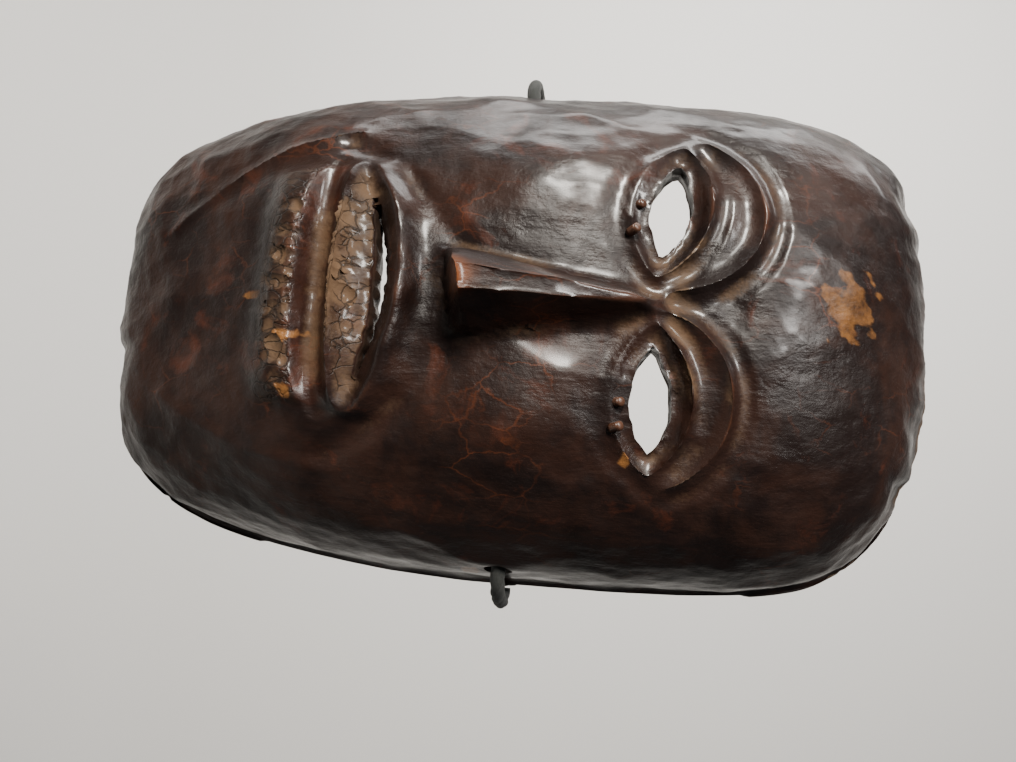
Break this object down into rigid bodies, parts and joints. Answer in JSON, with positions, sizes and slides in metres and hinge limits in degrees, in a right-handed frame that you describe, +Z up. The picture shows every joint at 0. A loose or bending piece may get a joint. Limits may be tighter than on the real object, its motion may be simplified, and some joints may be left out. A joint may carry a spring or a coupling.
{
  "type": "carved wooden face mask",
  "caption": "Hollow carved wooden face mask with pierced eyes and mouth and a cord through its side holes.",
  "frame": {"origin": "middle of the opening at the back of the mask, in the plane of the rim", "axes": "+Z up the face to the forehead, the face looks along -Y, +X is the wearer's left"},
  "size_m": [0.1726, 0.0946, 0.262],
  "materials": {
    "dark_wood": "glossy",
    "peg_wood": "satin",
    "black_cord": "matte"
  },
  "bodies": {
    "mask": {"mask_shell": "dark_wood", "peg_right_inner": "peg_wood", "peg_right_outer": "peg_wood", "peg_left_inner": "peg_wood", "peg_left_outer": "peg_wood", "tie_left": "black_cord", "tie_right": "black_cord", "knot_left": "black_cord", "knot_right": "black_cord"},
    "cord_loop": {"head_cord": "black_cord"}
  },
  "joints": [
    {"name": "head_cord_swing", "type": "hinge", "parent": "mask", "child": "cord_loop", "pos_m": [0, 0.0096, 0.003], "axis": [1, 0, 0], "range_deg": [-5, 170]}
  ]
}
